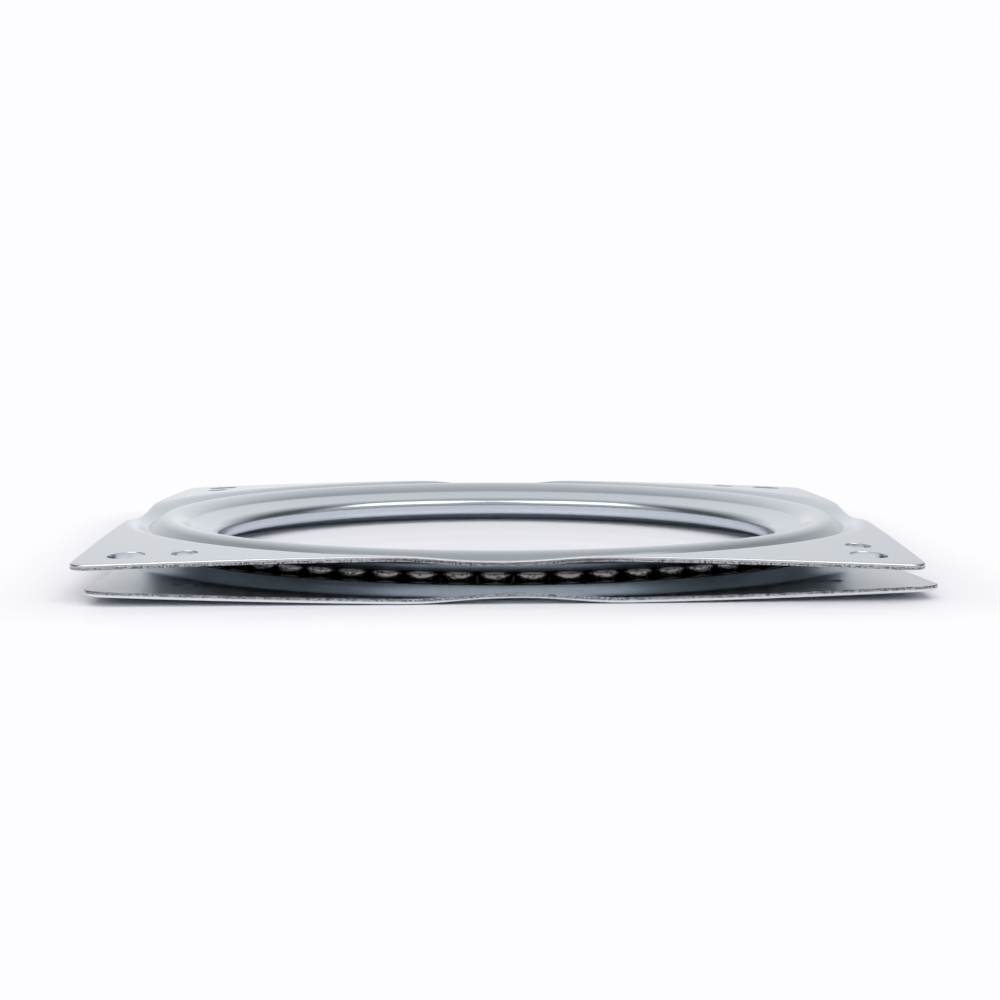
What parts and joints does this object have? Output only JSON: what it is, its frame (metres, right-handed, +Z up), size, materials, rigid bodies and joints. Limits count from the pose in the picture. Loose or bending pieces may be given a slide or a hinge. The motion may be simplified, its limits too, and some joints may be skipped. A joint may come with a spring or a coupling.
{
  "type": "lazy susan bearing",
  "caption": "Square swivel bearing of pressed sheet-steel plates that turn on a ring of loose balls, held together by a collar curled under the lower plate.",
  "frame": {"origin": "on the turning axis, in the plane of the lower plate's crest, which the bearing rests on", "axes": "+Z up along the turning axis, from the lower plate to the upper plate; X and Y along the sides of the lower plate"},
  "size_m": [0.1578, 0.1578, 0.0088],
  "materials": {
    "zinc_sheet": "bright zinc plated sheet steel, cold and slightly blue, with sheared edges",
    "ball_steel": "polished steel balls with a film of grease"
  },
  "bodies": {
    "lower_plate": {"lower_plate": "zinc_sheet"},
    "upper_plate": {"upper_plate": "zinc_sheet"},
    "ball_train": {"ball_set": "ball_steel"}
  },
  "joints": [
    {"name": "swivel", "type": "hinge", "parent": "lower_plate", "child": "upper_plate", "pos_m": [0, 0, 0.00438], "axis": [0, 0, 1], "continuous": true},
    {"name": "ball_orbit", "type": "hinge", "parent": "lower_plate", "child": "ball_train", "pos_m": [0, 0, 0.00438], "axis": [0, 0, 1], "continuous": true}
  ],
  "couplings": [
    {"joint": "ball_orbit", "follows": "swivel", "ratio": 0.5}
  ]
}
